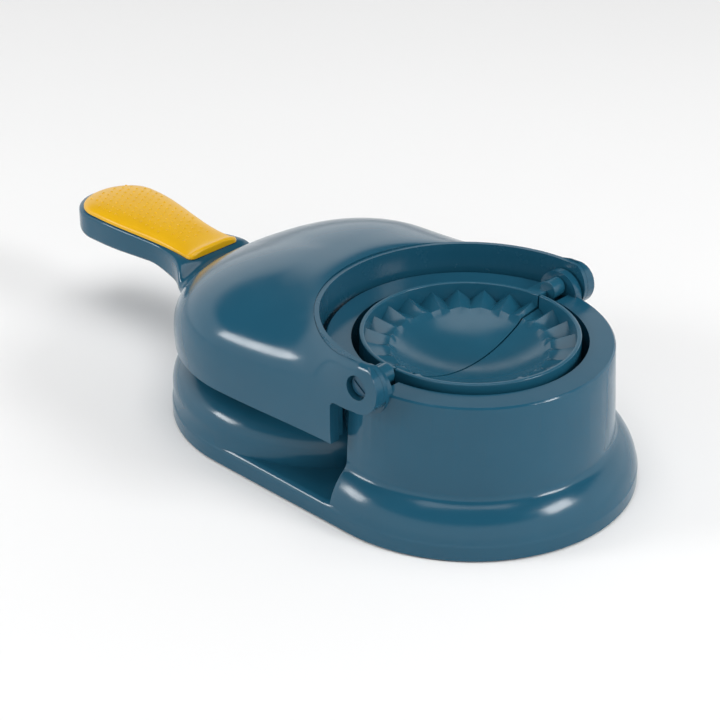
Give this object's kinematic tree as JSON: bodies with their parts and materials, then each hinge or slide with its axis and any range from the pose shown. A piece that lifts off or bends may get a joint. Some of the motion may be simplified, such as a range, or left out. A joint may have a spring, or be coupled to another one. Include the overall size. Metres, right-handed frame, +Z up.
{
  "type": "dumpling press",
  "caption": "Hand press for filled dough: a round tower with a folding pleated half-moon mould, a wrapper-pressing base and a domed lever with a yellow grip that swings over to close the mould.",
  "frame": {"origin": "on the table under the middle of the overall length and width", "axes": "+X from the handle's tip towards the round tower, +Z up, the part is symmetric about Y = 0"},
  "size_m": [0.2666, 0.1218, 0.0649],
  "materials": {
    "blue_shell": "glossy deep teal-blue ABS",
    "blue_mould": "glossy deep teal-blue ABS",
    "blue_inner": "smooth deep teal-blue ABS",
    "blue_pin": "glossy deep teal-blue pin",
    "grip_yellow": "satin mustard yellow grip with small raised dots",
    "foot_rubber": "matt dark rubber",
    "screw_steel": "zinc-plated steel"
  },
  "bodies": {
    "base": {"base_tower": "blue_shell", "base_pedestal": "blue_shell", "base_feet": "foot_rubber", "dough_plate": "blue_inner", "dough_plate_screws": "screw_steel", "mould_front_half": "blue_mould", "mould_screws": "screw_steel"},
    "lever": {"lever_shell": "blue_shell", "lever_liner": "blue_shell", "liner_screws": "screw_steel", "press_disc": "blue_inner", "press_disc_screws": "screw_steel", "hand_grip": "grip_yellow", "grip_screws": "screw_steel", "hinge_pin_near": "blue_pin", "hinge_pin_far": "blue_pin"},
    "fold_half": {"mould_rear_half": "blue_mould"}
  },
  "joints": [
    {"name": "lever_hinge", "type": "hinge", "parent": "base", "child": "lever", "pos_m": [0.07245, 0, 0.0558], "axis": [0, 1, 0], "range_deg": [0, 180]},
    {"name": "mould_fold", "type": "hinge", "parent": "base", "child": "fold_half", "pos_m": [0.07245, 0, 0.0558], "axis": [0, 1, 0], "range_deg": [0, 180]}
  ],
  "couplings": [
    {"joint": "mould_fold", "follows": "lever_hinge", "ratio": 1}
  ]
}
